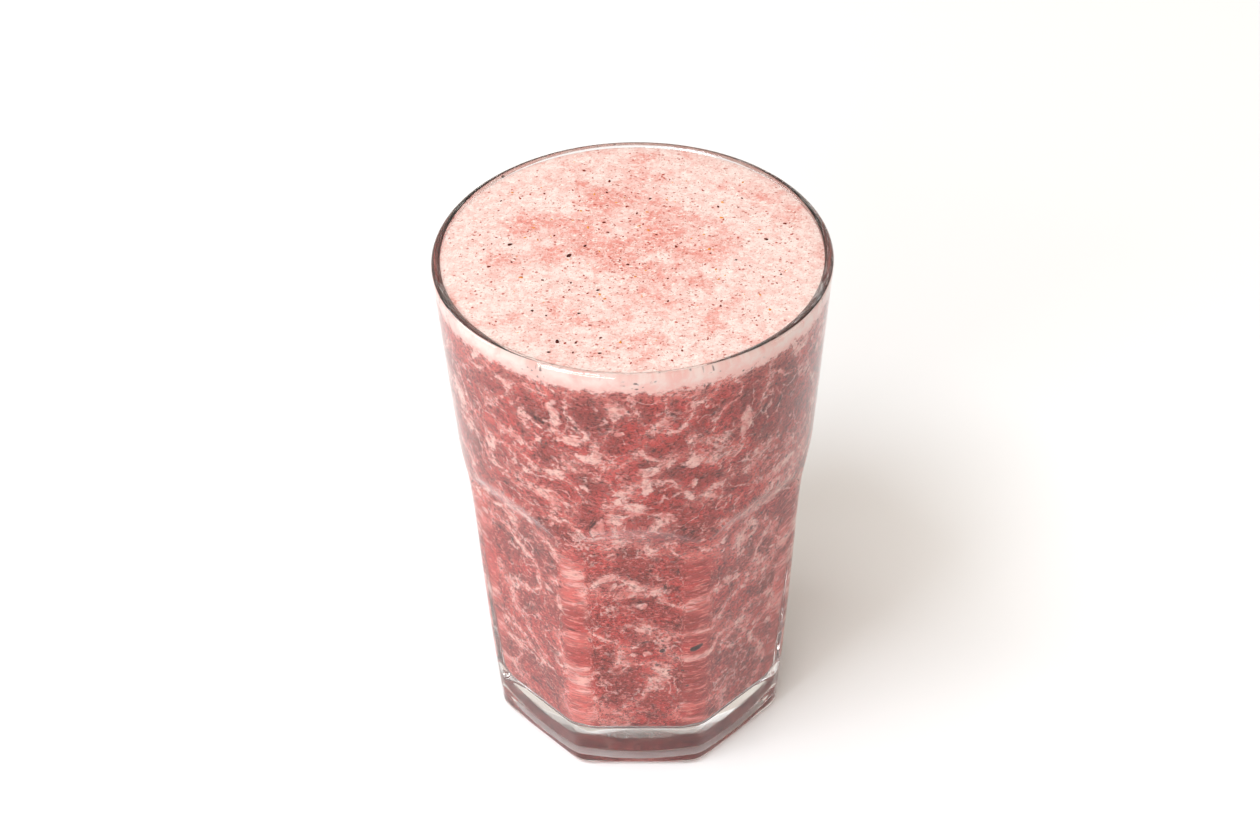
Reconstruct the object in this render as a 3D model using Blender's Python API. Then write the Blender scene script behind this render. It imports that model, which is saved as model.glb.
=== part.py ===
"""A tall faceted tumbler, filled to the brim with a strawberry smoothie under a layer of foam.

Metres, +Z up. The origin is the centre of the ring that the glass stands on, and a flat facet faces -Y.
Run with: blender --background --python part.py
"""

import math
import random

import bmesh
import bpy
from mathutils import Matrix, Vector, noise

MM = 0.001

# The outside of the tumbler. A round body runs down to the foot, and eight flat facets are cut into it
# up to an arch each, so that only the rounded edges between the facets still touch the round body.
HEIGHT = 130 * MM
LIP_RADIUS = 1.1 * MM  # the rim is a round bead, so the glass is twice this thick there
BODY_STATIONS = (  # height and radius of the round body
    (0 * MM, 36.6 * MM),
    (20 * MM, 38.05 * MM),
    (45 * MM, 39.35 * MM),
    (68 * MM, 40.35 * MM),
    (80 * MM, 41.25 * MM),
    (HEIGHT - LIP_RADIUS, 44.2 * MM),
)
FACETS = 8
FOOT_SHARPNESS = 50  # the higher, the tighter the edges between the facets
ARCH_SHARPNESS = 32
FACET_TOP = 71 * MM  # the facets keep their form up to here at least
ARCH_SPRING = 74 * MM  # the arches meet between the facets at this height
ARCH_CROWN = 85.2 * MM  # and are this high over the middle of a facet
ARCH_POWER = 1.8
LEDGE_POWER = 1.35  # under its arch a facet scoops out to the round body
LEDGE_RUN = 3.2  # over a height of this many times its depth
LEDGE_LEAST = 0.5 * MM
SHOULDER_TOP = 93 * MM
HEEL_RADIUS = 1.6 * MM

# The underside: a flat ring to stand on, a step up, and a shallow dome.
PUNT_RADIUS = 30.3 * MM
PUNT_STEP = 2 * MM
PUNT_STEP_WIDTH = 2 * MM
PUNT_STEP_SHARES = (1, 0.75, 0.5, 0.25, 0)  # where the rings of the step lie, as shares of its width
PUNT_DOME = 0.4 * MM
PUNT_DOME_RADII = (21 * MM, 28 * MM)

# The inside of the tumbler
WALL_STATIONS = (  # height and thickness of the wall at the edges between the facets
    (0 * MM, 5.4 * MM),
    (60 * MM, 4.7 * MM),
    (90 * MM, 3.5 * MM),
    (HEIGHT - LIP_RADIUS, 2 * LIP_RADIUS),
)
INNER_FACET_SHARE = 0.78  # the inside follows the facets by this share of their depth
INNER_FACET_TOP = 78 * MM  # and is round from the shoulder up
FLOOR_HEIGHT = 9.5 * MM
FLOOR_FILLET = 6 * MM
FLOOR_DIP = 0.6 * MM
FLOOR_SHARES = (0.4, 0.75)
FILLET_TURNS = (0, 25, 45, 65)  # degrees round the fillet

# The drink
GAP = 0.3 * MM  # clearance between neighbouring solids
FOAM_DEPTH = 5.2 * MM
FOAM_WAVE = 0.7 * MM  # how far the foam's underside wanders up and down
FOAM_WAVE_LENGTH = 9 * MM
FOAM_EDGE_TURN = math.radians(27)  # how far the foam climbs round the bead of the rim
FOAM_LAP_TURN = math.radians(98)  # and how far at the front, where it laps over the bead
FOAM_LAP_MIDDLE = math.radians(-8)
FOAM_LAP_SPAN = (math.radians(27), math.radians(44))
FOAM_BRIM_SHARES = (0.33, 0.67, 1)
FOAM_BRIM_POWER = 14
FOAM_CROWN = 0.25 * MM
FOAM_RELIEF = 0.12 * MM
FOAM_RELIEF_LENGTH = 6 * MM
FOAM_TOP_SHARES = (0.94, 0.84, 0.72, 0.6, 0.48, 0.36, 0.24, 0.12)
BOUNDARY_SHARES = (1, 0.8, 0.55, 0.3)  # rings of the boundary between smoothie and foam

# The seeds and flecks on the foam
LARGE_SEEDS = (  # across, back and length of the largest
    (-13.8 * MM, -1.3 * MM, 1.5 * MM),
    (-27.0 * MM, 3.0 * MM, 1.2 * MM),
    (9.6 * MM, 1.9 * MM, 1.0 * MM),
    (-31.2 * MM, -5.2 * MM, 0.9 * MM),
    (-15.3 * MM, -31.8 * MM, 1.3 * MM),
    (-11.4 * MM, -32.2 * MM, 0.8 * MM),
    (-7.2 * MM, -14.1 * MM, 0.8 * MM),
    (-13.1 * MM, -11.2 * MM, 0.7 * MM),
    (-16.9 * MM, -35.5 * MM, 0.8 * MM),
    (-11.9 * MM, -35.6 * MM, 0.7 * MM),
    (-6.3 * MM, -35.9 * MM, 0.8 * MM),
    (-6.4 * MM, 11.2 * MM, 0.9 * MM),
    (0.9 * MM, 14.7 * MM, 0.8 * MM),
    (-5.5 * MM, 7.4 * MM, 0.8 * MM),
    (-21.0 * MM, -21.1 * MM, 0.7 * MM),
)
SEED_COUNT = 30  # the others, on an even spiral
SEED_LENGTHS = (0.6 * MM, 1.1 * MM)
SEED_FORM = (1, 0.6, 0.45)  # length, width and thickness
SEED_AREA_RADIUS = 37 * MM
SEED_SHIFT = 0.35  # radians
SEED_SPACING = 3 * MM
RANDOM_SEED = 7

SEGMENTS = 64
FACET_HALF_ANGLE = math.pi / FACETS


def clear_scene():
    for obj in list(bpy.data.objects):
        bpy.data.objects.remove(obj)


def material(name, color, roughness, transmission=0.0):
    made = bpy.data.materials.new(name)
    made.use_nodes = True
    shader = made.node_tree.nodes["Principled BSDF"]
    shader.inputs["Base Color"].default_value = (*color, 1)
    shader.inputs["Roughness"].default_value = roughness
    shader.inputs["Metallic"].default_value = 0
    shader.inputs["Transmission Weight"].default_value = transmission
    return made


def mix(low, high, share):
    return low + (high - low) * share


def smooth_step(low, high, value):
    share = min(1, max(0, (value - low) / (high - low)))
    return share * share * (3 - 2 * share)


def curve_through(stations, height):
    """The value at a height on the smooth curve through (height, value) stations."""
    last = len(stations) - 1
    slopes = []
    for i in range(last + 1):
        before, after = stations[max(0, i - 1)], stations[min(last, i + 1)]
        slopes.append((after[1] - before[1]) / (after[0] - before[0]))
    height = min(max(height, stations[0][0]), stations[last][0])
    i = max(k for k in range(last) if stations[k][0] <= height)
    (h0, v0), (h1, v1) = stations[i], stations[i + 1]
    run = h1 - h0
    t = (height - h0) / run
    start_bend = t * (1 - t) ** 2
    end_bend = t * t * (t - 1)
    return mix(v0, v1, smooth_step(0, 1, t)) + run * (slopes[i] * start_bend + slopes[i + 1] * end_bend)


def body_radius(height):
    return curve_through(BODY_STATIONS, height)


def rounded_octagon(angle, sharpness):
    total = 0
    for k in range(FACETS):
        facing = math.cos(angle - math.tau * k / FACETS)
        total += max(0, facing) ** sharpness
    return total ** (-1 / sharpness)


def facet_depth(angle, height):
    """How far a facet lies inside the round body, which its rounded edges touch."""
    sharpness = mix(FOOT_SHARPNESS, ARCH_SHARPNESS, min(1, height / FACET_TOP))
    share = rounded_octagon(angle, sharpness) / rounded_octagon(FACET_HALF_ANGLE, sharpness)
    return body_radius(height) * (1 - share)


def arch_height(angle):
    """Height of the arch over a facet, which springs from the edges on both sides of it."""
    across = abs((angle + FACET_HALF_ANGLE) % (2 * FACET_HALF_ANGLE) - FACET_HALF_ANGLE)
    share = across / FACET_HALF_ANGLE
    return mix(ARCH_SPRING, ARCH_CROWN, (1 - share**ARCH_POWER) ** (1 / ARCH_POWER))


def outer_radius(angle, height):
    depth = facet_depth(angle, height)
    run = max(LEDGE_RUN * depth, LEDGE_LEAST)
    climb = min(1, max(0, 1 - (arch_height(angle) - height) / run))
    return body_radius(height) - depth * (1 - climb**LEDGE_POWER)


def inner_radius(angle, height):
    faceted = INNER_FACET_SHARE * (1 - smooth_step(INNER_FACET_TOP, SHOULDER_TOP, height))
    wall = curve_through(WALL_STATIONS, height)
    return body_radius(height) - wall - faceted * facet_depth(angle, height)


def point(angle, radius, height):
    """A point at this angle round the axis. Angle 0 is the middle of the facet that faces -Y."""
    return Vector((radius * math.sin(angle), -radius * math.cos(angle), height))


def ring(radius_of, height_of):
    angles = [math.tau * i / SEGMENTS for i in range(SEGMENTS)]
    return [point(a, radius_of(a), height_of(a)) for a in angles]


def level(value):
    return lambda angle: value


def rows_between(low_of, high_of, count):
    """Heights of count rows from low_of(angle), left out, to high_of(angle)."""
    return [
        lambda a, share=i / count: mix(low_of(a), high_of(a), share)
        for i in range(1, count + 1)
    ]


def loft(name, rings, shade_angle=math.radians(35)):
    """A closed solid through the rings. The first and last rings close on a point at their middle."""
    bm = bmesh.new()
    loops = [[bm.verts.new(p) for p in points] for points in rings]
    for low, high in zip(loops, loops[1:]):
        for i in range(SEGMENTS):
            j = (i + 1) % SEGMENTS
            bm.faces.new((low[i], low[j], high[j], high[i]))
    for loop, turn in ((loops[0], -1), (loops[-1], 1)):
        middle = bm.verts.new(sum((v.co for v in loop), Vector()) / SEGMENTS)
        for i in range(SEGMENTS):
            bm.faces.new((loop[i], loop[(i + 1) % SEGMENTS], middle)[::turn])
    bmesh.ops.triangulate(bm, faces=[f for f in bm.faces if len(f.verts) > 3])
    mesh = bpy.data.meshes.new(name)
    bm.to_mesh(mesh)
    bm.free()
    mesh.shade_smooth()
    mesh.set_sharp_from_angle(angle=shade_angle)
    obj = bpy.data.objects.new(name, mesh)
    bpy.context.scene.collection.objects.link(obj)
    return obj


def punt_height(radius):
    step = PUNT_STEP * smooth_step(0, PUNT_STEP_WIDTH, PUNT_RADIUS - radius)
    return step + PUNT_DOME * (1 - smooth_step(*PUNT_DOME_RADII, radius))


def underside_rings():
    """The underside, from near its middle out to the ring that the glass stands on."""
    low, high = PUNT_DOME_RADII
    radii = [low / 2, low, (low + high) / 2]
    radii += [PUNT_RADIUS - PUNT_STEP_WIDTH * share for share in PUNT_STEP_SHARES]
    return [ring(level(radius), level(punt_height(radius))) for radius in radii]


def heel_rings():
    rings = []
    for turn in (0, 30, 60, 90):
        back = HEEL_RADIUS * (1 - math.sin(math.radians(turn)))
        rise = HEEL_RADIUS * (1 - math.cos(math.radians(turn)))
        rings.append(ring(lambda a: outer_radius(a, HEEL_RADIUS) - back, level(rise)))
    return rings


def outer_wall_rings():
    courses = (
        (level(HEEL_RADIUS), level(FACET_TOP), 8),
        (level(FACET_TOP), arch_height, 6),
        (arch_height, level(SHOULDER_TOP), 2),
        (level(SHOULDER_TOP), level(HEIGHT - LIP_RADIUS), 4),
    )
    rings = []
    for low, high, count in courses:
        for height_of in rows_between(low, high, count):
            rings.append(ring(lambda a, h=height_of: outer_radius(a, h(a)), height_of))
    return rings


def lip_rings():
    middle = body_radius(HEIGHT - LIP_RADIUS) - LIP_RADIUS
    rings = []
    for turn in (30, 60, 90, 120, 150):
        out = LIP_RADIUS * math.cos(math.radians(turn))
        rise = LIP_RADIUS * math.sin(math.radians(turn))
        rings.append(ring(level(middle + out), level(HEIGHT - LIP_RADIUS + rise)))
    return rings


def cavity_rings(clearance):
    """The inside of the glass, drawn in by a clearance, from the middle of the floor up to the lip."""
    rings = []
    floor = FLOOR_HEIGHT + clearance
    fillet = FLOOR_FILLET - clearance
    foot = floor + fillet
    for share in FLOOR_SHARES:
        dip = FLOOR_DIP * (1 - share**2)
        rings.append(
            ring(lambda a: share * (inner_radius(a, foot) - FLOOR_FILLET), level(floor - dip))
        )
    for turn in FILLET_TURNS:
        back = fillet * (1 - math.sin(math.radians(turn)))
        rise = fillet * (1 - math.cos(math.radians(turn)))
        rings.append(
            ring(lambda a: inner_radius(a, foot) - clearance - back, level(floor + rise))
        )
    rows = rows_between(level(foot), level(HEIGHT - LIP_RADIUS), 12)
    for height_of in [level(foot), *rows]:
        rings.append(
            ring(lambda a, h=height_of: inner_radius(a, h(a)) - clearance, height_of)
        )
    return rings


def build_glass():
    inside = cavity_rings(0)
    rings = [*underside_rings(), *heel_rings(), *outer_wall_rings(), *lip_rings(), *inside[::-1]]
    glass = loft("glass", rings)
    glass.data.materials.append(material("clear_glass", (0.93, 0.94, 0.93), 0.02, 1.0))
    return glass


def foam_underside(place):
    """Height of the boundary between smoothie and foam, which wanders from place to place."""
    middle = HEIGHT - LIP_RADIUS - FOAM_DEPTH
    return middle + FOAM_WAVE * noise.noise(Vector((place.x, place.y, 0)) / FOAM_WAVE_LENGTH)


def disc_rings(edge, shares, height_of):
    """Rings that fill the outline edge, at shares of its radius, with their heights from height_of."""
    rings = []
    for share in shares:
        points = [Vector((p.x * share, p.y * share, 0)) for p in edge]
        for p in points:
            p.z = height_of(p)
        rings.append(points)
    return rings


def build_smoothie():
    top = HEIGHT - LIP_RADIUS - FOAM_DEPTH - FOAM_WAVE - GAP
    wall = [r for r in cavity_rings(GAP) if r[0].z < top]
    edge = ring(lambda a: inner_radius(a, top) - GAP, level(top))
    surface = disc_rings(edge, BOUNDARY_SHARES, lambda p: foam_underside(p) - GAP / 2)
    smoothie = loft("smoothie", [*wall, *surface])
    smoothie.data.materials.append(material("smoothie", (0.42, 0.10, 0.11), 0.5))
    return smoothie


def brim_point(angle, share):
    """The foam's edge along the bead of the rim, at a share of its climb."""
    away = abs((angle - FOAM_LAP_MIDDLE + math.pi) % math.tau - math.pi)
    turn = share * mix(FOAM_LAP_TURN, FOAM_EDGE_TURN, smooth_step(*FOAM_LAP_SPAN, away))
    middle = body_radius(HEIGHT - LIP_RADIUS) - LIP_RADIUS
    reach = LIP_RADIUS + GAP
    return point(angle, middle - reach * math.cos(turn), HEIGHT - LIP_RADIUS + reach * math.sin(turn))


def foam_top(place):
    """Height of the foam's upper surface: a low crown with faint lumps, which meets the brim all round."""
    edge = brim_point(math.atan2(place.x, -place.y), 1)
    share = min(1, math.hypot(place.x, place.y) / math.hypot(edge.x, edge.y))
    lumps = noise.noise(Vector((place.x, place.y, HEIGHT)) / FOAM_RELIEF_LENGTH)
    middle = HEIGHT - LIP_RADIUS + (LIP_RADIUS + GAP) * math.sin(FOAM_EDGE_TURN) + FOAM_CROWN
    return mix(middle, edge.z, share**FOAM_BRIM_POWER) + (1 - share**4) * FOAM_RELIEF * lumps


def build_foam():
    lip_height = HEIGHT - LIP_RADIUS
    low = lip_height - FOAM_DEPTH + FOAM_WAVE + GAP
    edge = ring(lambda a: inner_radius(a, low) - GAP, level(low))
    underside = disc_rings(edge, BOUNDARY_SHARES[::-1], lambda p: foam_underside(p) + GAP / 2)
    wall = [edge, ring(lambda a: inner_radius(a, lip_height) - GAP, level(lip_height))]
    angles = [math.tau * i / SEGMENTS for i in range(SEGMENTS)]
    brim = [[brim_point(a, share) for a in angles] for share in FOAM_BRIM_SHARES]
    top = disc_rings(brim[-1], FOAM_TOP_SHARES, foam_top)
    foam = loft("foam", [*underside, *wall, *brim, *top])
    foam.data.materials.append(material("foam", (0.86, 0.60, 0.57), 0.6))
    fuse_seeds(foam)
    return foam


def seed_at(place, length, heading):
    """A flat seed that lies half sunk in the foam."""
    mesh = bpy.data.meshes.new("seed")
    bm = bmesh.new()
    bmesh.ops.create_uvsphere(bm, u_segments=6, v_segments=4, radius=length / 2)
    slim = Matrix.Diagonal((*SEED_FORM, 1))
    bmesh.ops.transform(bm, verts=bm.verts, matrix=Matrix.Rotation(heading, 4, "Z") @ slim)
    bmesh.ops.translate(bm, verts=bm.verts, vec=place)
    bm.to_mesh(mesh)
    bm.free()
    return bpy.data.objects.new("seed", mesh)


def seed_places():
    """Places, lengths and headings of the seeds: the largest, then an even spiral of smaller ones."""
    draw = random.Random(RANDOM_SEED)
    seeds = [(Vector((x, y, 0)), length, draw.uniform(0, math.pi)) for x, y, length in LARGE_SEEDS]
    golden_angle = math.pi * (3 - 5**0.5)
    for i in range(SEED_COUNT):
        away = SEED_AREA_RADIUS * math.sqrt((i + 0.5) / SEED_COUNT)
        around = i * golden_angle + draw.uniform(-SEED_SHIFT, SEED_SHIFT)
        place = point(around, away, 0)
        length = draw.triangular(*SEED_LENGTHS, SEED_LENGTHS[0])
        heading = draw.uniform(0, math.pi)
        if min(math.dist(place.xy, large[:2]) for large in LARGE_SEEDS) > SEED_SPACING:
            seeds.append((place, length, heading))
    return seeds


def fuse_seeds(foam):
    """Joins the seeds and flecks to the top of the foam."""
    seeds = bpy.data.collections.new("seeds")
    bpy.context.scene.collection.children.link(seeds)
    for place, length, heading in seed_places():
        place.z = foam_top(place)
        seeds.objects.link(seed_at(place, length, heading))
    union = foam.modifiers.new("seeds", "BOOLEAN")
    union.operation = "UNION"
    union.operand_type = "COLLECTION"
    union.collection = seeds
    bpy.context.view_layer.update()
    graph = bpy.context.evaluated_depsgraph_get()
    fused = bpy.data.meshes.new_from_object(foam.evaluated_get(graph))
    foam.modifiers.clear()
    foam.data = fused
    for seed in list(seeds.objects):
        bpy.data.objects.remove(seed)
    bpy.data.collections.remove(seeds)


def main():
    clear_scene()
    build_glass()
    build_smoothie()
    build_foam()


main()
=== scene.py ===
"""The looks of a strawberry smoothie in a faceted glass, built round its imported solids.

Metres, +Z up, in the frame of the solids. A flat facet faces -Y, towards the camera.
"""

import math
import random

import bmesh
import bpy
import numpy as np
from mathutils import Matrix, Vector, noise


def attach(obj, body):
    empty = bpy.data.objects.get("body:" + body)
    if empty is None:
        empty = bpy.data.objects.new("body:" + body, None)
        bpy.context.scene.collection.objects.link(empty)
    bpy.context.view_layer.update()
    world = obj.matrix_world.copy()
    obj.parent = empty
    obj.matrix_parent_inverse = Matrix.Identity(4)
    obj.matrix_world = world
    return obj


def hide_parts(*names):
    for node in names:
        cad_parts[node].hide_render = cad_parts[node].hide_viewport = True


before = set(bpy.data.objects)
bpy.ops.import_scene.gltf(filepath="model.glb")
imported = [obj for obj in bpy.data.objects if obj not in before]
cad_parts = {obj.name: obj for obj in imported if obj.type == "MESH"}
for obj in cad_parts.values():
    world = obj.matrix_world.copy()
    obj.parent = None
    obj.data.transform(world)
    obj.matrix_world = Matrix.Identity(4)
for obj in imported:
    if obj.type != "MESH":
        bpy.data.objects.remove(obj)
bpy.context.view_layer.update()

MM = 0.001

# The outside of the tumbler, as in the solids
HEIGHT = 130 * MM
LIP_RADIUS = 1.1 * MM
BODY_STATIONS = (  # height and radius of the round body
    (0 * MM, 36.6 * MM),
    (20 * MM, 38.05 * MM),
    (45 * MM, 39.35 * MM),
    (68 * MM, 40.35 * MM),
    (80 * MM, 41.25 * MM),
    (HEIGHT - LIP_RADIUS, 44.2 * MM),
)
FACETS = 8
FOOT_SHARPNESS = 50
ARCH_SHARPNESS = 32
FACET_TOP = 71 * MM
ARCH_SPRING = 74 * MM
ARCH_CROWN = 85.2 * MM
ARCH_POWER = 1.8
LEDGE_POWER = 1.35
LEDGE_RUN = 3.2  # the height of a ledge over its depth
LEDGE_LEAST = 0.5 * MM
SHOULDER_TOP = 93 * MM
HEEL_RADIUS = 1.6 * MM
PUNT_RADIUS = 30.3 * MM
PUNT_STEP = 2 * MM
PUNT_STEP_WIDTH = 2 * MM
PUNT_DOME = 0.4 * MM
PUNT_DOME_RADII = (21 * MM, 28 * MM)

# The inside of the tumbler
WALL_STATIONS = (  # height and thickness of the wall at the edges between the facets
    (0 * MM, 5.4 * MM),
    (60 * MM, 4.7 * MM),
    (90 * MM, 3.5 * MM),
    (HEIGHT - LIP_RADIUS, 2 * LIP_RADIUS),
)
INNER_FACET_SHARE = 0.78
INNER_FACET_TOP = 78 * MM
FLOOR_HEIGHT = 9.5 * MM
FLOOR_FILLET = 6 * MM
FLOOR_DIP = 0.6 * MM

# The drink
INTO_GLASS = 0.12 * MM  # the drink reaches this far into the glass, so that no air shows between them
FOAM_DEPTH = 5.2 * MM
FOAM_WAVE = 0.7 * MM
FOAM_WAVE_LENGTH = 9 * MM
FOAM_EDGE_TURN = math.radians(27)  # how far the foam climbs round the bead of the rim
FOAM_LAP_TURN = math.radians(98)  # and how far at the front, where it laps over the bead
FOAM_LAP_MIDDLE = math.radians(-8)
FOAM_LAP_SPAN = (math.radians(27), math.radians(44))
FOAM_CROWN = 0.25 * MM
FOAM_BRIM_POWER = 14
FOAM_RELIEF = 0.12 * MM
FOAM_RELIEF_LENGTH = 6 * MM
FOAM_LINE = 124.2 * MM  # mean height of the foam's lower edge along the glass
FOAM_GRAIN = 0.04 * MM
FOAM_GRAIN_LENGTH = 1.3 * MM
SEAM = 0.02 * MM  # between the smoothie and its foam

# The seeds and flecks on the foam, as in the solids
LARGE_SEEDS = (  # across, back and length of the largest
    (-13.8 * MM, -1.3 * MM, 1.5 * MM),
    (-27.0 * MM, 3.0 * MM, 1.2 * MM),
    (9.6 * MM, 1.9 * MM, 1.0 * MM),
    (-31.2 * MM, -5.2 * MM, 0.9 * MM),
    (-15.3 * MM, -31.8 * MM, 1.3 * MM),
    (-11.4 * MM, -32.2 * MM, 0.8 * MM),
    (-7.2 * MM, -14.1 * MM, 0.8 * MM),
    (-13.1 * MM, -11.2 * MM, 0.7 * MM),
    (-16.9 * MM, -35.5 * MM, 0.8 * MM),
    (-11.9 * MM, -35.6 * MM, 0.7 * MM),
    (-6.3 * MM, -35.9 * MM, 0.8 * MM),
    (-6.4 * MM, 11.2 * MM, 0.9 * MM),
    (0.9 * MM, 14.7 * MM, 0.8 * MM),
    (-5.5 * MM, 7.4 * MM, 0.8 * MM),
    (-21.0 * MM, -21.1 * MM, 0.7 * MM),
)
SEED_COUNT = 30
SEED_LENGTHS = (0.6 * MM, 1.1 * MM)
SEED_FORM = (1, 0.6, 0.45)
SEED_AREA_RADIUS = 37 * MM
SEED_SHIFT = 0.35
SEED_SPACING = 3 * MM
RANDOM_SEED = 7

# Flecks too small for the solids: name, how many, least and greatest length, darkest and lightest colour
FLECK_KINDS = (
    ("flecks_red", 620, (0.22 * MM, 0.72 * MM), "7c2f24", "a84e3e"),
    ("flecks_orange", 70, (0.35 * MM, 1.0 * MM), "b56a26", "c88436"),
    ("flecks_grey", 320, (0.18 * MM, 0.46 * MM), "86584a", "ab8472"),
)
FLECK_CROWDING = 0.62  # 0.5 spreads the flecks evenly, and more draws them towards the middle
FLECK_SMALLNESS = 2.2  # the higher this power, the more of the flecks are small
FLECK_VARIETY = (0.75, 1.3)
FLECK_AREA_RADIUS = 39.5 * MM
FLECK_FORM = (1, 0.62, 0.3)
FOAM_MIDDLE = (-2, 4, 0)  # in millimetres, the middle of the pinkest part of the foam
SALMON_PATCHES = (  # in millimetres, across, back and radius of the pinkest patches on the foam
    (-1.0, 3.0, 12.0),
    (-25.2, 11.5, 5.5),
    (11.1, -11.1, 6.5),
    (-14.1, -20.5, 5.0),
    (22.2, 5.2, 5.0),
    (-7.5, 19.9, 7.0),
)

# Seeds in the smoothie that show through the glass: angle, height and length
SUNK_SEEDS = (
    (math.radians(23.0), 40.6 * MM, 2.8 * MM),
    (math.radians(11.0), 40.3 * MM, 2.1 * MM),
    (math.radians(20.7), 27.5 * MM, 1.0 * MM),
)
SUNK_COUNT = 60
SUNK_HEIGHTS = (14 * MM, 119 * MM)
SUNK_LENGTHS = (0.5 * MM, 1.2 * MM)

# Pale clots in the smoothie, which show through the glass: angle, height, half the width and half the height
CLOTS = (
    (math.radians(4.8), 100.8 * MM, 2.7 * MM, 1.3 * MM),
    (math.radians(4.2), 96.8 * MM, 1.4 * MM, 3.4 * MM),
    (math.radians(0.9), 89.6 * MM, 3.0 * MM, 2.4 * MM),
    (math.radians(-3.8), 112.5 * MM, 1.5 * MM, 0.8 * MM),
    (math.radians(18.7), 102.3 * MM, 2.6 * MM, 1.5 * MM),
    (math.radians(19.3), 95.9 * MM, 1.2 * MM, 1.5 * MM),
    (math.radians(-23.3), 113.8 * MM, 1.4 * MM, 3.2 * MM),
    (math.radians(-18.5), 108.9 * MM, 3.2 * MM, 1.5 * MM),
    (math.radians(35.7), 109.5 * MM, 1.6 * MM, 5.5 * MM),
    (math.radians(-26.7), 54.5 * MM, 1.6 * MM, 3.0 * MM),
)

# Colours of the smoothie
PULP_RED = "a6403a"
PULP_ROSY = "ca4a44"
PULP_BROWN = "853832"
# painted highlight: a lighter red laid on the pulp behind the rounded edges between the facets
PULP_PAINTED_EDGE_HIGHLIGHT = "d05e58"
PULP_ROUND_VEINS = "f28079"
PULP_UNDER_FROTH = "ec8f86"
PULP_GRAIN = "3e130f"
PULP_CRUMBS = "f79a92"
PULP_DOTS = "2c1410"
VEIN_DULL = "e8978f"
VEIN_BRIGHT = "fed6cd"
VEIN_GRAIN = "b05c55"
FROTH_PINK = "fac9c1"
FROTH_MILKY = "ffe9e2"
FROTH_CRUMBS = "fff0ea"

# Colours of the foam
FOAM_PALE = "d5c2bb"
FOAM_PINK = "cfaaa2"
FOAM_SALMON = "c6796e"
FOAM_STREAKS = "b86f62"
FOAM_BUBBLES = "dcd5cc"
FOAM_FINE_GRAIN = "a87466"
FOAM_FLECKS = "9a4437"

# Camera, from the rim's ellipse, the foot's octagon and the side outlines
CAMERA_PLACE = (8.9 * MM, -397.6 * MM, 415.5 * MM)
CAMERA_TURN = math.radians(1.277)
CAMERA_TILT = math.radians(49.971)
CAMERA_PAN = math.radians(0.143)
CAMERA_ROLL = math.radians(-1.09)
CAMERA_LENS = 63.55
CAMERA_SENSOR = 36
CAMERA_CLIP_START = 0.01

# Studio
FLOOR_HALF = 4.0
FLOOR_DROP = 0.2 * MM
FLOOR_COLOR = (0.735, 0.735, 0.735, 1)
WORLD_COLOR = (1.0, 0.915, 0.82, 1)
WORLD_STRENGTH = 0.8
LIGHTS = (  # name, place, aim, size, power and colour
    ("key", (-0.85, -0.7, 2.1), (0, 0, 0.05), (0.78, 0.78), 29, (0.96, 1.033, 1.13)),
    ("front", (-0.75, -1.35, 0.8), (0, 0, 0.06), (1.2, 0.7), 21, (1, 1, 1)),
    ("left", (-1.5, 0.15, 0.6), (0, 0, 0.06), (0.9, 0.9), 10.5, (1, 1, 1)),
    ("right", (1.5, 0.1, 0.35), (0, 0, 0.06), (0.9, 0.6), 2.5, (1, 1, 1)),
)
BOUNCES = 12

GLASS_COLOR = (0.985, 0.99, 0.988, 1)
GLASS_IOR = 1.52
DRINK_IOR = 1.353

GLASS_SEGMENTS = 320
DRINK_SEGMENTS = 400
FOAM_SEGMENTS = 600
FACET_HALF_ANGLE = math.pi / FACETS
EDGE_SPAN = (0.14, 0.06)  # where the drawn-out grain behind an edge ends and is full, in parts of a facet
EDGE_DRAW = 0.62
EDGE_FADE = 6 * MM
SHARP_EDGE = math.radians(50)


def mix(low, high, share):
    return low + (high - low) * share


def smooth_step(low, high, value):
    share = np.clip((value - low) / (high - low), 0, 1)
    return share * share * (3 - 2 * share)


def curve_through(stations, height):
    """The value at a height on the smooth curve through (height, value) stations."""
    heights, values = np.array(stations).T
    last = len(heights) - 1
    before = np.maximum(np.arange(last + 1) - 1, 0)
    after = np.minimum(np.arange(last + 1) + 1, last)
    slopes = (values[after] - values[before]) / (heights[after] - heights[before])
    height = np.clip(height, heights[0], heights[-1])
    i = np.clip(np.searchsorted(heights, height, side="right") - 1, 0, last - 1)
    run = heights[i + 1] - heights[i]
    t = (height - heights[i]) / run
    start_bend = t * (1 - t) ** 2
    end_bend = t * t * (t - 1)
    straight = mix(values[i], values[i + 1], smooth_step(0, 1, t))
    return straight + run * (slopes[i] * start_bend + slopes[i + 1] * end_bend)


def body_radius(height):
    return curve_through(BODY_STATIONS, height)


def rounded_octagon(angle, sharpness):
    total = 0
    for k in range(FACETS):
        total = total + np.maximum(0, np.cos(angle - math.tau * k / FACETS)) ** sharpness
    return total ** (-1 / sharpness)


def facet_depth(angle, height):
    """How far a facet lies inside the round body, which its rounded edges touch."""
    sharpness = mix(FOOT_SHARPNESS, ARCH_SHARPNESS, np.minimum(1, height / FACET_TOP))
    share = rounded_octagon(angle, sharpness) / rounded_octagon(FACET_HALF_ANGLE, sharpness)
    return body_radius(height) * (1 - share)


def arch_height(angle):
    """Height of the arch over a facet, which springs from the edges on both sides of it."""
    across = np.abs((angle + FACET_HALF_ANGLE) % (2 * FACET_HALF_ANGLE) - FACET_HALF_ANGLE)
    share = np.clip(across / FACET_HALF_ANGLE, 0, 1)
    return mix(ARCH_SPRING, ARCH_CROWN, (1 - share**ARCH_POWER) ** (1 / ARCH_POWER))


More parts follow.
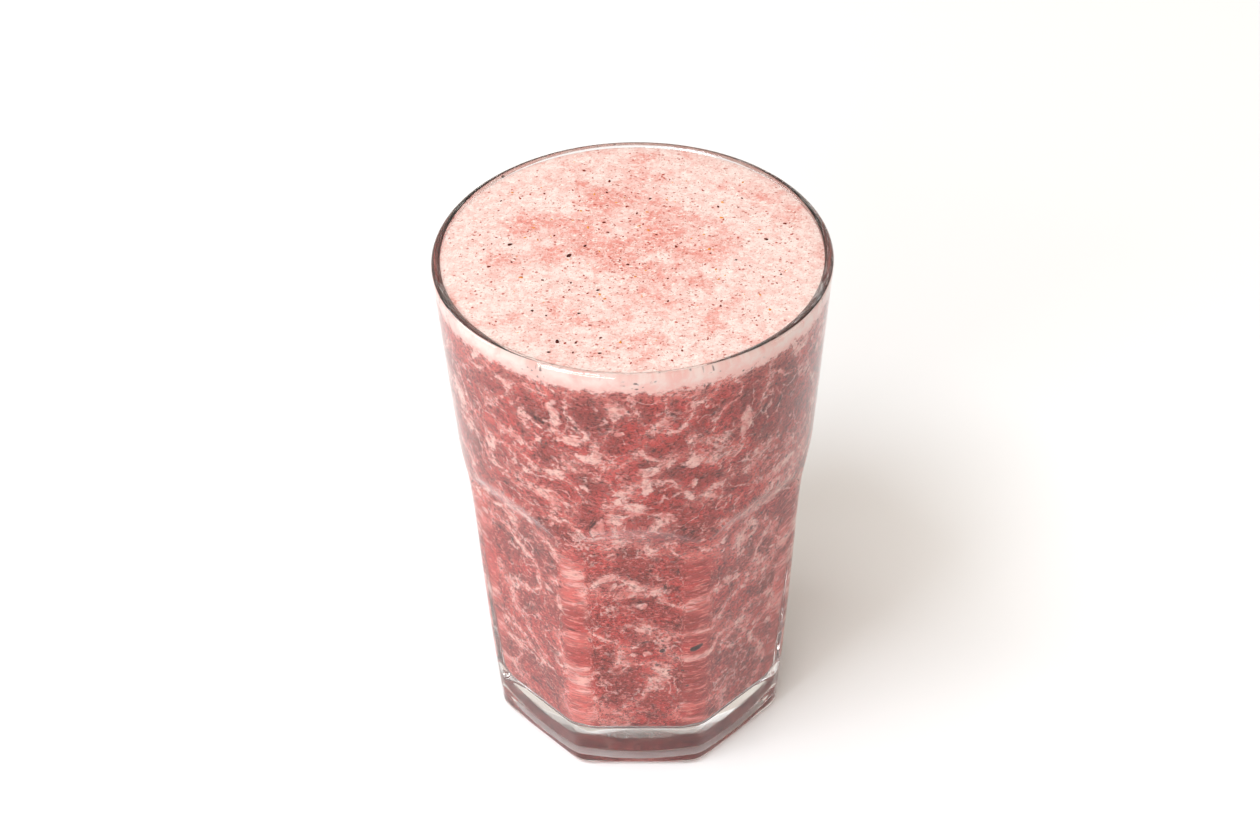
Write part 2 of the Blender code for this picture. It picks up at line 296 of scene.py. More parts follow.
def outer_radius(angle, height):
    depth = facet_depth(angle, height)
    run = np.maximum(LEDGE_RUN * depth, LEDGE_LEAST)
    climb = np.clip(1 - (arch_height(angle) - height) / run, 0, 1)
    return body_radius(height) - depth * (1 - climb**LEDGE_POWER)


def inner_radius(angle, height):
    faceted = INNER_FACET_SHARE * (1 - smooth_step(INNER_FACET_TOP, SHOULDER_TOP, height))
    wall = curve_through(WALL_STATIONS, height)
    return body_radius(height) - wall - faceted * facet_depth(angle, height)


def ring(angles, radius, height):
    """Points round the axis. Angle 0 is the middle of the facet that faces -Y."""
    radius = np.broadcast_to(radius, angles.shape)
    height = np.broadcast_to(height, angles.shape)
    return np.stack([radius * np.sin(angles), -radius * np.cos(angles), height], axis=-1)


def even_angles(count):
    return np.arange(count) * math.tau / count


def noise_at(points, length):
    """Smooth noise from about -1 to 1 at each of these points, with bumps about this long."""
    values = [noise.noise(Vector(point)) for point in points.reshape(-1, 3) / length]
    return np.array(values).reshape(points.shape[:-1])


def loft(name, rings):
    """A surface through the rings, whose first and last rings close on a point at their middle."""
    count = len(rings[0])
    rows = np.array(rings)
    points = rows.reshape(-1, 3)
    low = np.arange(len(rings) - 1)[:, None] * count + np.arange(count)[None, :]
    side = np.arange(len(rings) - 1)[:, None] * count + (np.arange(count)[None, :] + 1) % count
    quads = np.stack([low, side, side + count, low + count], axis=-1).reshape(-1, 4)
    faces = quads.tolist()
    middles = np.array([rows[0].mean(axis=0), rows[-1].mean(axis=0)])
    points = np.concatenate([points, middles])
    first, last = len(points) - 2, len(points) - 1
    top = (len(rings) - 1) * count
    for i in range(count):
        j = (i + 1) % count
        faces.append([first, j, i])
        faces.append([top + i, top + j, last])
    mesh = bpy.data.meshes.new(name)
    mesh.from_pydata(points.tolist(), [], faces)
    mesh.validate()
    mesh.shade_smooth()
    mesh.set_sharp_from_angle(angle=SHARP_EDGE)
    obj = bpy.data.objects.new(name, mesh)
    bpy.context.scene.collection.objects.link(obj)
    return obj


def wall_rows(radius_of, angles, low, high, count):
    """Rows of a wall from low, left out, up to high, which are heights or arrays of them."""
    rows = []
    for i in range(1, count + 1):
        height = mix(low, high, i / count) + 0 * angles
        rows.append(ring(angles, radius_of(angles, height), height))
    return rows


def cavity_rows(angles, reach, floor_count, fillet_count, wall_count, top):
    """The inside of the glass, moved out by reach, from the middle of the floor up to a height."""
    rows = []
    floor = FLOOR_HEIGHT - reach
    fillet = FLOOR_FILLET + reach
    foot = floor + fillet
    inner = inner_radius(angles, foot)
    for i in range(1, floor_count + 1):
        share = i / (floor_count + 1)
        rows.append(ring(angles, share * (inner - FLOOR_FILLET), floor - FLOOR_DIP * (1 - share**2)))
    for i in range(fillet_count):
        turn = i / fillet_count * math.pi / 2
        back = fillet * (1 - math.sin(turn))
        rise = fillet * (1 - math.cos(turn))
        rows.append(ring(angles, inner + reach - back, floor + rise))
    rows.append(ring(angles, inner + reach, foot))
    rows += wall_rows(lambda a, h: inner_radius(a, h) + reach, angles, foot, top, wall_count)
    return rows


def punt_height(radius):
    """Height of the underside: a step up from the standing ring, then a shallow dome."""
    step = PUNT_STEP * smooth_step(PUNT_RADIUS, PUNT_RADIUS - PUNT_STEP_WIDTH, radius)
    return step + PUNT_DOME * smooth_step(PUNT_DOME_RADII[1], PUNT_DOME_RADII[0], radius)


def wall_point(angle, height):
    """A point on the outside of the drink, just inside the wall of the glass."""
    radius = inner_radius(angle, height) + INTO_GLASS
    return radius * math.sin(angle), -radius * math.cos(angle), height


def build_glass():
    angles = even_angles(GLASS_SEGMENTS)
    rows = []
    for radius in (*np.linspace(0.05, 0.9, 20) * PUNT_RADIUS, *np.linspace(0.905, 1, 20) * PUNT_RADIUS):
        rows.append(ring(angles, radius, punt_height(radius)))
    for i in range(9):
        turn = i / 8 * math.pi / 2
        back = HEEL_RADIUS * (1 - math.sin(turn))
        rise = HEEL_RADIUS * (1 - math.cos(turn))
        rows.append(ring(angles, outer_radius(angles, HEEL_RADIUS) - back, rise))
    arch = arch_height(angles)
    lip_height = HEIGHT - LIP_RADIUS
    rows += wall_rows(outer_radius, angles, HEEL_RADIUS, FACET_TOP, 36)
    rows += wall_rows(outer_radius, angles, FACET_TOP, arch, 28)
    rows += wall_rows(outer_radius, angles, arch, SHOULDER_TOP, 8)
    rows += wall_rows(outer_radius, angles, SHOULDER_TOP, lip_height, 20)
    middle = body_radius(lip_height) - LIP_RADIUS
    for i in range(1, 16):
        turn = i / 16 * math.pi
        rise = LIP_RADIUS * math.sin(turn)
        rows.append(ring(angles, middle + LIP_RADIUS * math.cos(turn), lip_height + rise))
    rows += cavity_rows(angles, 0, 8, 12, 60, lip_height)[::-1]
    glass = loft("clear_tumbler", rows)
    glass.data.materials.append(glass_material())
    return glass


def foam_underside(points):
    """Height of the boundary between smoothie and foam, which wanders from place to place."""
    flat = points * np.array([1, 1, 0])
    return HEIGHT - LIP_RADIUS - FOAM_DEPTH + FOAM_WAVE * noise_at(flat, FOAM_WAVE_LENGTH)


def disc_rows(edge, shares, height_of):
    """Rows that fill the outline edge, at shares of its radius, with their heights from height_of."""
    rows = []
    for share in shares:
        row = edge * np.array([share, share, 0])
        row[:, 2] = height_of(row)
        rows.append(row)
    return rows


def build_smoothie():
    angles = even_angles(DRINK_SEGMENTS)
    top = HEIGHT - LIP_RADIUS - FOAM_DEPTH
    rows = cavity_rows(angles, INTO_GLASS, 8, 10, 190, top)
    edge = ring(angles, inner_radius(angles, top) + INTO_GLASS, top)
    rows += disc_rows(edge, (0.9, 0.8, 0.65, 0.5, 0.35, 0.2), foam_underside)
    smoothie = loft("smoothie_marbled", rows)
    smoothie.data.materials.append(smoothie_material())
    return smoothie


def brim_turn(angles):
    """How far the foam climbs round the bead of the rim at these angles."""
    away = np.abs((angles - FOAM_LAP_MIDDLE + math.pi) % math.tau - math.pi)
    return mix(FOAM_LAP_TURN, FOAM_EDGE_TURN, smooth_step(*FOAM_LAP_SPAN, away))


def brim_row(angles, share):
    """The foam's edge along the bead, at a share of its climb."""
    turn = share * brim_turn(angles)
    reach = LIP_RADIUS - INTO_GLASS
    middle = body_radius(HEIGHT - LIP_RADIUS) - LIP_RADIUS
    return ring(angles, middle - reach * np.cos(turn), HEIGHT - LIP_RADIUS + reach * np.sin(turn))


def foam_top(points):
    """Height of the foam's upper surface: a low crown with faint lumps, which meets the brim all round."""
    angles = np.arctan2(points[:, 0], -points[:, 1])
    edge = brim_row(angles, 1)
    share = np.hypot(points[:, 0], points[:, 1]) / np.hypot(edge[:, 0], edge[:, 1])
    share = np.minimum(1, share)
    middle = HEIGHT - LIP_RADIUS + LIP_RADIUS * math.sin(FOAM_EDGE_TURN) + FOAM_CROWN
    flat = points * np.array([1, 1, 0])
    lumps = noise_at(flat + np.array([0, 0, HEIGHT]), FOAM_RELIEF_LENGTH)
    grain = noise_at(flat, FOAM_GRAIN_LENGTH)
    relief = (1 - share**4) * (FOAM_RELIEF * lumps + FOAM_GRAIN * grain)
    return mix(middle, edge[:, 2], share**FOAM_BRIM_POWER) + relief


def build_foam():
    angles = even_angles(FOAM_SEGMENTS)
    lip_height = HEIGHT - LIP_RADIUS
    low = lip_height - FOAM_DEPTH + SEAM
    edge = ring(angles, inner_radius(angles, low) + INTO_GLASS, low)
    rows = disc_rows(edge, (0.2, 0.35, 0.5, 0.65, 0.8, 0.9), lambda p: foam_underside(p) + SEAM)
    rows.append(edge)
    side_start = len(rows) - 1
    rows += wall_rows(lambda a, h: inner_radius(a, h) + INTO_GLASS, angles, low, lip_height, 10)
    rows += [brim_row(angles, i / 6) for i in range(1, 7)]
    side_end = len(rows) - 1
    rows += disc_rows(rows[-1], [1 - i / 100 for i in range(1, 100)], foam_top)
    foam = loft("foam_top_layer", rows)
    foam.data.materials.append(foam_material())
    foam.data.materials.append(smoothie_material())
    index = np.zeros(len(foam.data.polygons), dtype=np.int32)
    index[side_start * FOAM_SEGMENTS : side_end * FOAM_SEGMENTS] = 1
    foam.data.polygons.foreach_set("material_index", index)
    return foam


def seed_places():
    """Places, lengths and headings of the seeds on the foam: the largest, then an even spiral."""
    draw = random.Random(RANDOM_SEED)
    seeds = [(x, y, length, draw.uniform(0, math.pi)) for x, y, length in LARGE_SEEDS]
    golden_angle = math.pi * (3 - 5**0.5)
    for i in range(SEED_COUNT):
        away = SEED_AREA_RADIUS * math.sqrt((i + 0.5) / SEED_COUNT)
        around = i * golden_angle + draw.uniform(-SEED_SHIFT, SEED_SHIFT)
        x, y = away * math.sin(around), -away * math.cos(around)
        length = draw.triangular(*SEED_LENGTHS, SEED_LENGTHS[0])
        heading = draw.uniform(0, math.pi)
        if min(math.dist((x, y), large[:2]) for large in LARGE_SEEDS) > SEED_SPACING:
            seeds.append((x, y, length, heading))
    return seeds


def speck_shape(rings, sides):
    """A drop of length 1 along X, blunt at one end: its points and triangles."""
    bm = bmesh.new()
    bmesh.ops.create_uvsphere(bm, u_segments=sides, v_segments=rings, radius=0.5)
    bmesh.ops.rotate(bm, verts=bm.verts, matrix=Matrix.Rotation(math.pi / 2, 3, "Y"))
    bmesh.ops.triangulate(bm, faces=bm.faces)
    points = np.array([v.co for v in bm.verts])
    faces = np.array([[v.index for v in f.verts] for f in bm.faces])
    bm.free()
    points[:, 1:] *= (1 - 0.7 * points[:, :1])
    return points, faces


def scatter(name, shape, places, sizes, turns, material):
    """One mesh of many copies of a shape, each with its own place, size along three axes and turn."""
    points, faces = shape
    count = len(places)
    spread = points[None] * np.array(sizes)[:, None]
    spread = np.einsum("nij,npj->npi", np.array(turns), spread) + np.array(places)[:, None]
    offsets = np.arange(count)[:, None, None] * len(points)
    mesh = bpy.data.meshes.new(name)
    mesh.from_pydata(spread.reshape(-1, 3).tolist(), [], (faces[None] + offsets).reshape(-1, 3).tolist())
    mesh.shade_smooth()
    mesh.materials.append(material)
    obj = bpy.data.objects.new(name, mesh)
    bpy.context.scene.collection.objects.link(obj)
    return obj


def build_seeds():
    seeds = seed_places()
    flat = np.array([(x, y, 0) for x, y, _, _ in seeds])
    flat[:, 2] = foam_top(flat)
    sizes = [[length * part for part in SEED_FORM] for _, _, length, _ in seeds]
    turns = [np.array(Matrix.Rotation(heading, 3, "Z")) for _, _, _, heading in seeds]
    color = speck_material("seed_dark", "2a0e0a", "6a2a1e")
    return scatter("seeds_on_foam", speck_shape(8, 10), flat, sizes, turns, color)


def build_flecks(name, count, lengths, material, layer):
    """Tiny flecks on the foam, rather thicker towards its middle."""
    draw = np.random.default_rng(RANDOM_SEED + layer)
    away = FLECK_AREA_RADIUS * draw.uniform(0, 1, count) ** FLECK_CROWDING
    around = draw.uniform(0, math.tau, count)
    places = ring(around, away, 0.0)
    places[:, 2] = foam_top(places)
    length = mix(*lengths, draw.uniform(0, 1, count) ** FLECK_SMALLNESS)
    sizes = length[:, None] * np.array(FLECK_FORM) * draw.uniform(*FLECK_VARIETY, (count, 3))
    turns = [np.array(Matrix.Rotation(a, 3, "Z")) for a in draw.uniform(0, math.tau, count)]
    return scatter(name, speck_shape(4, 6), places, sizes, turns, material)


def build_sunk_seeds():
    """Seeds in the smoothie, flat against the glass."""
    draw = np.random.default_rng(RANDOM_SEED)
    seeds = list(SUNK_SEEDS)
    for _ in range(SUNK_COUNT):
        length = SUNK_LENGTHS[0] + (SUNK_LENGTHS[1] - SUNK_LENGTHS[0]) * draw.uniform() ** 2
        seeds.append((draw.uniform(-math.pi, math.pi), draw.uniform(*SUNK_HEIGHTS), length))
    places, sizes, turns = [], [], []
    for angle, height, length in seeds:
        places.append(wall_point(angle, height))
        sizes.append((length, 0.55 * length, 0.2 * MM))
        upright = Matrix.Rotation(angle, 3, "Z") @ Matrix.Rotation(math.pi / 2, 3, "X")
        turns.append(np.array(upright @ Matrix.Rotation(draw.uniform(-0.9, 0.9), 3, "Z")))
    color = speck_material("seed_wet", "3a2a28", "6a4a44")
    return scatter("seeds_behind_glass", speck_shape(6, 8), places, sizes, turns, color)


class Nodes:
    """One material, whose nodes are joined as they are made."""

    def __init__(self, name):
        self.material = bpy.data.materials.new(name)
        self.material.use_nodes = True
        self.tree = self.material.node_tree
        self.shader = self.tree.nodes["Principled BSDF"]

    def feed(self, socket, value):
        if isinstance(value, bpy.types.NodeSocket):
            self.tree.links.new(value, socket)
        else:
            socket.default_value = value

    def set(self, **values):
        for name, value in values.items():
            self.feed(self.shader.inputs[name.replace("_", " ")], value)

    def add(self, kind, inputs, **settings):
        node = self.tree.nodes.new(kind)
        for name, value in settings.items():
            setattr(node, name, value)
        for name, value in inputs.items():
            self.feed(node.inputs[name], value)
        return node

    def place(self):
        """Where the surface is, in millimetres, in the object's own frame."""
        coordinates = self.add("ShaderNodeTexCoord", {})
        scaled = self.add("ShaderNodeVectorMath", {0: coordinates.outputs["Object"]}, operation="SCALE")
        scaled.inputs["Scale"].default_value = 1 / MM
        return scaled.outputs[0]

    def math(self, operation, a, b=0.0):
        return self.add("ShaderNodeMath", {0: a, 1: b}, operation=operation).outputs[0]

    def noise(self, place, length, detail=2.0, roughness=0.5, output=0):
        inputs = {"Vector": place, "Scale": 1 / length, "Detail": detail, "Roughness": roughness}
        return self.add("ShaderNodeTexNoise", inputs).outputs[output]

    def away(self, value):
        """How far a noise value lies from its middle, which is 0 along winding lines."""
        return self.math("ABSOLUTE", self.minus(value, 0.5))

    def times(self, a, b):
        return self.math("MULTIPLY", a, b)

    def plus(self, a, b):
        return self.math("ADD", a, b)

    def minus(self, a, b):
        return self.math("SUBTRACT", a, b)

    def most(self, value, *others):
        """The largest of these values."""
        for other in others:
            value = self.math("MAXIMUM", value, other)
        return value

    def cells(self, place, length):
        """How far it is to the middle of the nearest cell, in cells of about this length."""
        inputs = {"Vector": place, "Scale": 1 / length}
        return self.add("ShaderNodeTexVoronoi", inputs).outputs["Distance"]

    def band(self, value, low, high):
        """0 below low, 1 above high, and smooth in between. The other way round if low is higher."""
        inputs = {"Value": value, "From Min": low, "From Max": high}
        return self.add("ShaderNodeMapRange", inputs, interpolation_type="SMOOTHSTEP").outputs[0]

    def shift(self, place, length, distance, detail=2.0):
        """Moves the place about by up to distance, in swirls of this length."""
        swirl = self.noise(place, length, detail, output=1)
        centred = self.add("ShaderNodeVectorMath", {0: swirl, 1: (0.5, 0.5, 0.5)}, operation="SUBTRACT")
        scaled = self.add("ShaderNodeVectorMath", {0: centred.outputs[0]}, operation="SCALE")
        scaled.inputs["Scale"].default_value = 2 * distance
        return self.add("ShaderNodeVectorMath", {0: place, 1: scaled.outputs[0]}).outputs[0]

    def stretch(self, place, factors):
        return self.add("ShaderNodeVectorMath", {0: place, 1: factors}, operation="MULTIPLY").outputs[0]

    def blots(self, place, spots, low, high):
        """1 in these spots, each a middle and its reach along the three axes, and 0 clear of them."""
        total = 0.0
        for middle, reach in spots:
            scaled = self.stretch(place, [1 / part for part in reach])
            aim = [part / size for part, size in zip(middle, reach)]
            away = self.add("ShaderNodeVectorMath", {0: scaled, 1: aim}, operation="DISTANCE")
            total = self.math("MAXIMUM", self.band(away.outputs["Value"], high, low), total)
        return total

    def blend(self, share, low, high):
        """Between two colours, each the result of a node or a hexadecimal code."""
        node = self.add("ShaderNodeMix", {}, data_type="RGBA", clamp_factor=True)
        for index, value in ((0, share), (6, low), (7, high)):
            self.feed(node.inputs[index], (*srgb(value), 1) if isinstance(value, str) else value)
        return node.outputs[2]

    def touch_glass(self):
        """Where the surface touches glass it mirrors like a liquid seen from inside the glass."""
        output = self.tree.nodes["Material Output"]
        share = self.add("ShaderNodeFresnel", {"IOR": DRINK_IOR / GLASS_IOR}).outputs[0]
        mirror = self.add("ShaderNodeBsdfGlossy", {"Roughness": 0.0, "Color": (1, 1, 1, 1)})
        mixed = self.add("ShaderNodeMixShader", {0: share, 1: self.shader.outputs[0], 2: mirror.outputs[0]})
        self.feed(output.inputs["Surface"], mixed.outputs[0])

    def bump(self, height, distance, strength=1.0):
        inputs = {"Height": height, "Distance": distance, "Strength": strength}
        self.feed(self.shader.inputs["Normal"], self.add("ShaderNodeBump", inputs).outputs[0])


def srgb(code):
    """Linear colour from a hexadecimal code such as c08080."""
    parts = [int(code[i : i + 2], 16) / 255 for i in (0, 2, 4)]
    return tuple(p / 12.92 if p <= 0.04045 else ((p + 0.055) / 1.055) ** 2.4 for p in parts)


def draw_out(nodes, place, height):
    """Draws the drink's grain out sideways behind the rounded edges between the facets, as they magnify it.

    Gives the new place, and a share that is 1 behind an edge, where the pulp also gets a painted highlight.
    """
    parts = nodes.add("ShaderNodeSeparateXYZ", {0: place}).outputs
    angle = nodes.math("ARCTAN2", parts[0], nodes.times(parts[1], -1.0))
    turns = nodes.math("DIVIDE", angle, 2 * FACET_HALF_ANGLE)
    across = nodes.minus(nodes.math("FLOORED_MODULO", turns, 1.0), 0.5)
    below_arch = nodes.band(height, ARCH_SPRING / MM, (ARCH_SPRING - EDGE_FADE) / MM)
    behind = nodes.times(nodes.band(nodes.math("ABSOLUTE", across), *EDGE_SPAN), below_arch)
    turn = nodes.times(nodes.times(across, behind), -2 * FACET_HALF_ANGLE * EDGE_DRAW)
    inputs = {"Vector": place, "Angle": turn}
    turned = nodes.add("ShaderNodeVectorRotate", inputs, rotation_type="Z_AXIS")
    return turned.outputs[0], behind


class Marbling(Nodes):
    """The smoothie's material: red pulp with pale veins and clots, and a band of froth along the top.

    Lengths and heights are in millimetres, and each vein, clot or grain is a share from 0 to 1.
    """

    def __init__(self):
        super().__init__("smoothie_marbled")
        place = self.place()
        self.height = self.add("ShaderNodeSeparateXYZ", {0: place}).outputs[2]
        self.still, self.behind_edge = draw_out(self, place, self.height)
        self.swirled = self.shift(self.still, 12, 4)
        self.ragged = self.shift(self.shift(self.swirled, 3.0, 0.9, 3), 0.9, 0.35, 2)
        crumbly = self.stretch(self.shift(self.still, 1.3, 0.3), (1, 1, 1.3))
        crumbs = self.noise(self.stretch(crumbly, (1, 1, 1.1)), 1.1, 3, 0.8)
        self.fine = self.noise(crumbly, 0.85, 3, 0.85)
        self.frayed = self.times(self.minus(crumbs, 0.5), 0.16)
        self.grain = self.band(self.fine, 0.48, 0.60)
        self.sparkle = self.band(crumbs, 0.53, 0.64)
        self.main = self.away(self.noise(self.ragged, 13, 1))
        self.low = self.band(self.height, 92, 70)
        line = self.plus(self.times(self.noise(self.ragged, 3.5, 3), 4.0), FOAM_LINE / MM - 2.0)
        self.over = self.minus(self.height, line)

    def main_veins(self):
        """Broad veins, whose width and strength wander."""
        thickness = self.noise(self.swirled, 7, 2)
        wide = self.plus(self.times(self.band(thickness, 0.46, 0.72), 0.044), self.frayed)
        wide = self.plus(wide, self.times(self.low, 0.008))
        strength = self.band(self.noise(self.ragged, 3.4, 3, 0.6), 0.31, 0.54)
        return self.times(self.band(self.minus(self.main, wide), 0.026, -0.014), strength)

    def side_veins(self):
        """Thinner veins, in some areas only."""
        side = self.minus(self.away(self.noise(self.ragged, 5.4, 2)), self.frayed)
        area = self.band(self.noise(self.swirled, 9, 2), 0.45, 0.60)
        veins = self.times(self.band(side, 0.044, -0.008), area)
        return self.times(veins, self.band(self.fine, 0.32, 0.52))

    def threads(self):
        """Short faint threads, close to the main veins and here and there."""
        thread = self.away(self.noise(self.stretch(self.ragged, (1, 1, 1.3)), 2.0, 1))
        close = self.band(self.main, 0.11, 0.02)
        area = self.most(close, self.band(self.noise(self.swirled, 5, 2), 0.54, 0.70))
        veins = self.times(self.band(thread, 0.09, 0.0), area)
        veins = self.times(veins, self.band(self.fine, 0.42, 0.60))
        return self.times(veins, 0.45)

    def clumps(self):
        """Small clumps beside the main veins, more of them low down."""
        clump = self.plus(self.noise(self.ragged, 2.4, 2), self.times(self.frayed, 0.6))
        clump = self.plus(clump, self.times(self.low, 0.035))
        return self.times(self.band(clump, 0.62, 0.71), self.band(self.main, 0.12, 0.04))

    def clots(self):
        """Large clots: those in CLOTS, and others wherever they fall."""
        others = self.band(self.noise(self.ragged, 6.5, 2), 0.68, 0.73)
        torn = self.shift(self.shift(self.still, 3.4, 1.7, 3), 1.0, 0.6, 2)
        spots = []
        for angle, height, half_width, half_height in CLOTS:
            middle = [part / MM for part in wall_point(angle, height)]
            spots.append((middle, (half_width / MM, half_width / MM, half_height / MM)))
        blotted = self.plus(self.blots(torn, spots, 0.4, 1.5), self.times(self.frayed, 9))
        return self.most(others, self.band(blotted, 0.36, 0.86))

    def veins(self):
        """All that is pale. It is weaker at the foot and behind the edges between the facets."""
        veins = self.most(self.main_veins(), self.side_veins(), self.threads(), self.clumps(), self.clots())
        plain_foot = self.plus(self.times(self.band(self.height, 14, 26), 0.6), 0.4)
        veins = self.times(veins, plain_foot)
        return self.times(veins, self.minus(1.0, self.times(self.behind_edge, 0.3)))

    def vein_color(self):
        bright = self.band(self.noise(self.ragged, 2.2, 2), 0.34, 0.60)
        pale = self.blend(bright, VEIN_DULL, VEIN_BRIGHT)
        return self.blend(self.times(self.grain, 0.5), pale, VEIN_GRAIN)

    def pulp_color(self):
        """Red, rosy and brown areas, lighter round the veins and under the froth, with grain and crumbs, and
        a painted highlight behind the edges between the facets.
        """
        rosy = self.band(self.noise(self.swirled, 11, 3, 0.6), 0.40, 0.60)
        brown = self.band(self.noise(self.ragged, 4.2, 3, 0.65), 0.47, 0.64)
        haze = self.band(self.main, 0.12, 0.0)
        haze_share = self.plus(self.times(self.low, 0.30), 0.32)
        grain_share = self.minus(0.8, self.times(self.behind_edge, 0.4))
        pulp = self.blend(rosy, PULP_RED, PULP_ROSY)
        pulp = self.blend(self.times(brown, 0.7), pulp, PULP_BROWN)
        # painted highlight: the pulp behind the edges between the facets is made lighter red
        pulp = self.blend(self.times(self.behind_edge, 0.2), pulp, PULP_PAINTED_EDGE_HIGHLIGHT)
        pulp = self.blend(self.times(haze, haze_share), pulp, PULP_ROUND_VEINS)
        pulp = self.blend(self.times(self.band(self.over, -4.0, 0.0), 0.45), pulp, PULP_UNDER_FROTH)
        pulp = self.blend(self.times(self.grain, grain_share), pulp, PULP_GRAIN)
        return self.blend(self.times(self.sparkle, haze_share), pulp, PULP_CRUMBS)

    def add_froth(self, color):
        """The color, with the band of froth along the top laid over it."""
        milky = self.band(self.noise(self.stretch(self.swirled, (1, 1, 0.8)), 5, 3, 0.6), 0.34, 0.60)
        milky = self.times(milky, self.band(self.over, 0.4, 3.0))
        froth = self.blend(milky, FROTH_PINK, FROTH_MILKY)
        froth = self.blend(self.times(self.sparkle, 0.3), froth, FROTH_CRUMBS)
        share = self.band(self.plus(self.over, self.times(self.frayed, 26)), -0.6, 0.8)
        return self.blend(share, color, froth)

    def add_dots(self, color):
        """The color, with small dark dots here and there."""
        dots = self.band(self.cells(self.ragged, 1.6), 0.34, 0.14)
        kept = self.band(self.noise(self.swirled, 4.2, 2), 0.54, 0.64)
        return self.blend(self.times(self.times(dots, kept), 0.8), color, PULP_DOTS)


def smoothie_material():
    nodes = Marbling()
    color = nodes.blend(nodes.times(nodes.veins(), 0.92), nodes.pulp_color(), nodes.vein_color())
    color = nodes.add_dots(nodes.add_froth(color))
    nodes.set(Base_Color=color, Roughness=0.9, Specular_IOR_Level=0.0)
    nodes.touch_glass()
    return nodes.material


def salmon_areas(nodes, place, ragged):
    """1 where the foam is pinkest: towards its middle, in SALMON_PATCHES, and wherever else it falls."""
    flat = nodes.stretch(place, (1, 1, 0))
    away = nodes.add("ShaderNodeVectorMath", {0: flat, 1: FOAM_MIDDLE}, operation="DISTANCE").outputs["Value"]
    middle = nodes.band(away, 38, 4)
    spots = [((x, y, 0), (radius, radius, radius)) for x, y, radius in SALMON_PATCHES]
    patches = nodes.blots(nodes.stretch(ragged, (1, 1, 0)), spots, 0.3, 1.4)
    extra = nodes.plus(nodes.times(middle, 0.10), nodes.times(patches, 0.13))
    return nodes.band(nodes.plus(nodes.noise(ragged, 9, 4, 0.62), extra), 0.48, 0.74)


def foam_material():
    """Froth in paler and pinker areas, with streaks, bubbles, fine grain, flecks and pits."""
    nodes = Nodes("foam_froth")
    place = nodes.place()
    ragged = nodes.shift(nodes.shift(place, 8, 2.5), 1.4, 0.9, 3)
    wide = nodes.stretch(place, (0.8, 1.1, 1))
    salmon = salmon_areas(nodes, place, ragged)
    pink = nodes.band(nodes.noise(ragged, 2.2, 4, 0.7), 0.40, 0.64)
    froth = nodes.blend(pink, FOAM_PALE, FOAM_PINK)
    grainy = nodes.band(nodes.noise(nodes.shift(place, 0.9, 0.4), 1.0, 3, 0.75), 0.36, 0.60)
    strength = nodes.plus(nodes.times(grainy, 0.6), 0.32)
    froth = nodes.blend(nodes.times(salmon, strength), froth, FOAM_SALMON)
    streak = nodes.band(nodes.noise(nodes.shift(wide, 0.8, 0.4), 0.8, 3, 0.75), 0.53, 0.67)
    depth = nodes.plus(nodes.times(salmon, 0.4), 0.42)
    froth = nodes.blend(nodes.times(streak, depth), froth, FOAM_STREAKS)
    bubble = nodes.band(nodes.noise(wide, 0.95, 3, 0.75), 0.56, 0.65)
    froth = nodes.blend(nodes.times(bubble, 0.7), froth, FOAM_BUBBLES)
    fine = nodes.band(nodes.noise(place, 0.5, 2, 0.75), 0.54, 0.70)
    froth = nodes.blend(nodes.times(fine, 0.8), froth, FOAM_FINE_GRAIN)
    fleck = nodes.band(nodes.cells(nodes.shift(place, 1.1, 0.35), 1.5), 0.27, 0.14)
    kept = nodes.plus(nodes.noise(place, 2.1, 2), nodes.times(salmon, 0.08))
    fleck = nodes.times(fleck, nodes.band(kept, 0.52, 0.57))
    froth = nodes.blend(nodes.times(fleck, 0.8), froth, FOAM_FLECKS)
    nodes.set(Base_Color=froth, Roughness=0.65, Specular_IOR_Level=0.3)
    nodes.bump(nodes.noise(place, 0.35, 3, 0.7), 0.08 * MM, 0.7)
    return nodes.material


def glass_material():
    nodes = Nodes("clear_glass")
    nodes.set(Base_Color=GLASS_COLOR, Roughness=0.0, IOR=GLASS_IOR, Transmission_Weight=1.0)
    return nodes.material


def speck_material(name, dark, light):
    nodes = Nodes(name)
    share = nodes.band(nodes.noise(nodes.place(), 2.5, 2), 0.35, 0.65)
    color = nodes.blend(share, dark, light)
    nodes.set(Base_Color=color, Roughness=0.6, Specular_IOR_Level=0.1)
    return nodes.material


def floor_material():
    nodes = Nodes("floor_white")
    nodes.set(Base_Color=FLOOR_COLOR, Roughness=0.6)
    return nodes.material


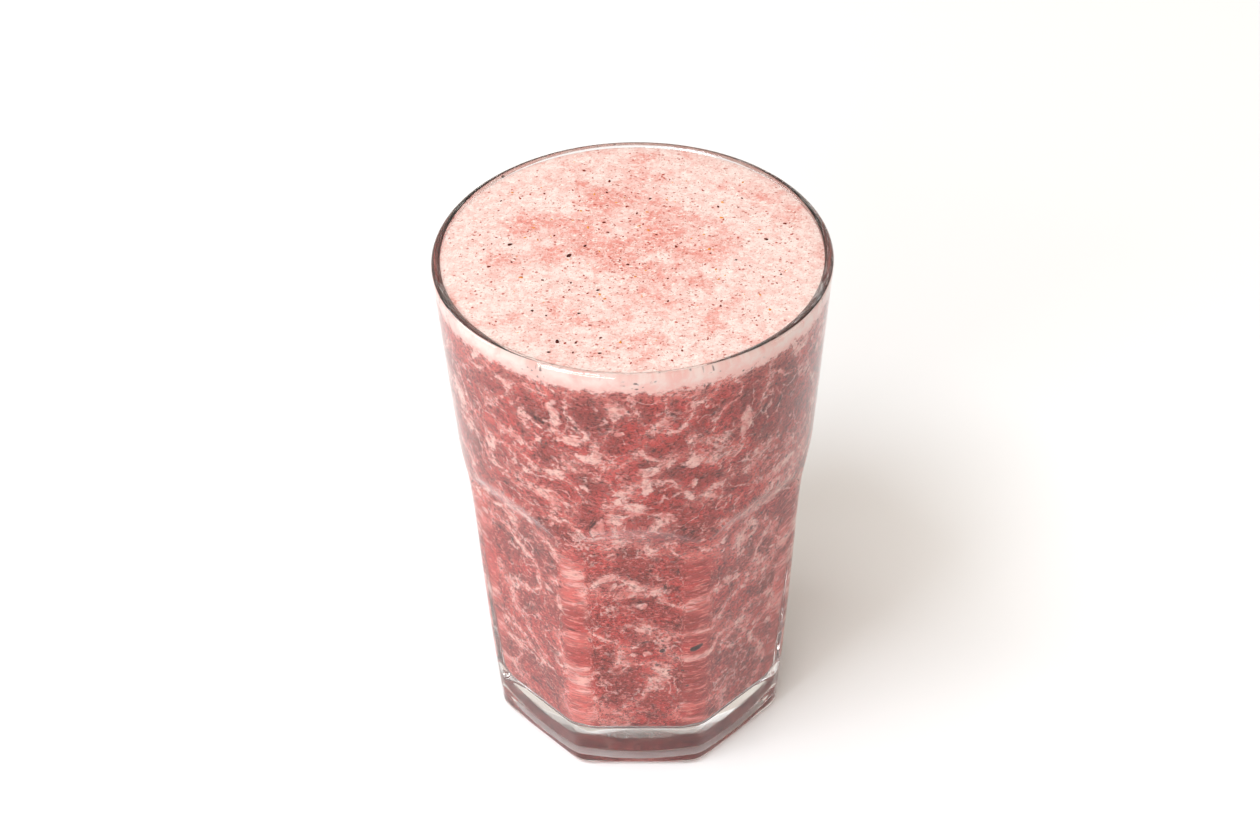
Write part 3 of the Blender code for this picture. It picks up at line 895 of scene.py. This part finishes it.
def point_camera():
    camera = bpy.data.objects.new("camera", bpy.data.cameras.new("camera"))
    bpy.context.scene.collection.objects.link(camera)
    turn = Matrix.Rotation(CAMERA_TURN, 4, "Z") @ Matrix.Rotation(CAMERA_TILT, 4, "X")
    adjust = Matrix.Rotation(CAMERA_PAN, 4, "Y") @ Matrix.Rotation(CAMERA_ROLL, 4, "Z")
    camera.matrix_world = Matrix.Translation(CAMERA_PLACE) @ turn @ adjust
    camera.data.lens = CAMERA_LENS
    camera.data.sensor_width = CAMERA_SENSOR
    camera.data.clip_start = CAMERA_CLIP_START
    bpy.context.scene.camera = camera


def area_light(name, place, aim, size, power, color):
    light = bpy.data.lights.new(name, "AREA")
    light.shape = "RECTANGLE"
    light.size, light.size_y = size
    light.energy = power
    light.color = color
    obj = bpy.data.objects.new(name, light)
    bpy.context.scene.collection.objects.link(obj)
    direction = Vector(aim) - Vector(place)
    obj.matrix_world = Matrix.Translation(place) @ direction.to_track_quat("-Z", "Y").to_matrix().to_4x4()


def build_stage():
    mesh = bpy.data.meshes.new("floor")
    corners = [(x * FLOOR_HALF, y * FLOOR_HALF, 0) for x, y in ((-1, -1), (1, -1), (1, 1), (-1, 1))]
    mesh.from_pydata(corners, [], [(0, 1, 2, 3)])
    floor = bpy.data.objects.new("floor", mesh)
    floor.location.z = -FLOOR_DROP
    bpy.context.scene.collection.objects.link(floor)
    floor.data.materials.append(floor_material())
    world = bpy.data.worlds.new("studio")
    bpy.context.scene.world = world
    world.use_nodes = True
    background = world.node_tree.nodes["Background"]
    background.inputs["Color"].default_value = WORLD_COLOR
    background.inputs["Strength"].default_value = WORLD_STRENGTH
    for light in LIGHTS:
        area_light(*light)
    bpy.context.scene.view_settings.view_transform = "Standard"
    cycles = bpy.context.scene.cycles
    cycles.max_bounces = BOUNCES
    cycles.transmission_bounces = BOUNCES
    cycles.glossy_bounces = BOUNCES


def main():
    glass = build_glass()
    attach(glass, "root")
    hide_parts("glass")
    smoothie = build_smoothie()
    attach(smoothie, "root")
    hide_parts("smoothie")
    foam = build_foam()
    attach(foam, "root")
    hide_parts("foam")
    specks = [build_seeds()]
    for layer, (name, count, lengths, dark, light) in enumerate(FLECK_KINDS):
        material = speck_material(name, dark, light)
        specks.append(build_flecks(name, count, lengths, material, layer))
    for piece in specks:
        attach(piece, "root")
    sunk = build_sunk_seeds()
    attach(sunk, "root")
    build_stage()
    point_camera()


main()
